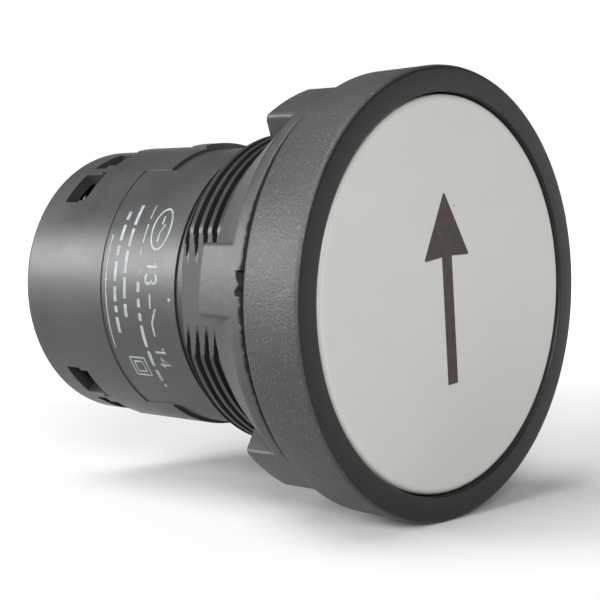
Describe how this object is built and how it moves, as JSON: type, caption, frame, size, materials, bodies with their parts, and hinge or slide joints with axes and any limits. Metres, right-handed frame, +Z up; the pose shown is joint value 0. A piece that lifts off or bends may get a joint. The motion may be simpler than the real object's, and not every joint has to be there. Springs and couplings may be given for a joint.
{
  "type": "push button",
  "caption": "Panel-mounted monoblock push button with a flush white arrow cap, black bezel, threaded collar, fixing nut and screw terminals.",
  "frame": {"origin": "on the button's axis, in the plane where the panel gasket meets the panel", "axes": "+Y along the axis from the cap to the wiring end, +Z up along the arrow, +X to the right seen from the front"},
  "size_m": [0.0294, 0.0315, 0.0294],
  "materials": {
    "black_plastic": "satin, fine spark-eroded grain",
    "nut_plastic": "satin",
    "black_rubber": "matt",
    "white_plastic": "satin",
    "grey_plastic": "natural moulded",
    "inner_plastic": "moulded",
    "spring_steel": "drawn wire",
    "copper_alloy": "stamped strip",
    "silver_alloy": "coined rivet",
    "zinc_steel": "zinc plated"
  },
  "bodies": {
    "housing": {"bezel": "black_plastic", "threaded_collar": "black_plastic", "panel_gasket": "black_rubber", "lip_seal": "black_rubber", "barrel_housing": "black_plastic", "contact_carrier": "inner_plastic", "terminal_block": "inner_plastic", "fixed_contact_upper": "copper_alloy", "fixed_contact_lower": "copper_alloy", "fixed_contact_tips": "silver_alloy", "rear_cover": "black_plastic", "return_spring": "spring_steel"},
    "button": {"button_cap": "white_plastic", "plunger": "grey_plastic", "contact_spring": "spring_steel"},
    "bridge": {"contact_bridge": "copper_alloy", "bridge_contact_tips": "silver_alloy"},
    "nut": {"fixing_nut": "nut_plastic"},
    "clamp_upper": {"terminal_clamp_upper": "zinc_steel", "spring_washer_upper": "zinc_steel"},
    "screw_upper": {"terminal_screw_upper": "zinc_steel"},
    "clamp_lower": {"terminal_clamp_lower": "zinc_steel", "spring_washer_lower": "zinc_steel"},
    "screw_lower": {"terminal_screw_lower": "zinc_steel"}
  },
  "joints": [
    {"name": "button_press", "type": "slide", "parent": "housing", "child": "button", "axis": [0, 1, 0], "range_m": [0, 0.0024], "stiffness_N_per_m": 900, "springref_m": -0.002, "deforming": ["return_spring", "contact_spring"]},
    {"name": "bridge_travel", "type": "slide", "parent": "housing", "child": "bridge", "axis": [0, 1, 0], "range_m": [0, 0.00144]},
    {"name": "nut_travel", "type": "slide", "parent": "housing", "child": "nut", "axis": [0, 1, 0], "range_m": [0, 0.03]},
    {"name": "clamp_upper_close", "type": "slide", "parent": "housing", "child": "clamp_upper", "axis": [0, -1, 0], "range_m": [0, 0.0016]},
    {"name": "screw_upper_turn", "type": "hinge", "parent": "clamp_upper", "child": "screw_upper", "pos_m": [-0.00327, 0, 0.00503], "axis": [0, -1, 0], "range_deg": [0, 1152]},
    {"name": "clamp_lower_close", "type": "slide", "parent": "housing", "child": "clamp_lower", "axis": [0, -1, 0], "range_m": [0, 0.0016]},
    {"name": "screw_lower_turn", "type": "hinge", "parent": "clamp_lower", "child": "screw_lower", "pos_m": [-0.00327, 0, -0.00503], "axis": [0, -1, 0], "range_deg": [0, 1152]}
  ],
  "couplings": [
    {"joint": "bridge_travel", "follows": "button_press", "ratio": 0.6},
    {"joint": "screw_upper_turn", "follows": "clamp_upper_close", "rad_per_m": 12566},
    {"joint": "screw_lower_turn", "follows": "clamp_lower_close", "rad_per_m": 12566}
  ]
}
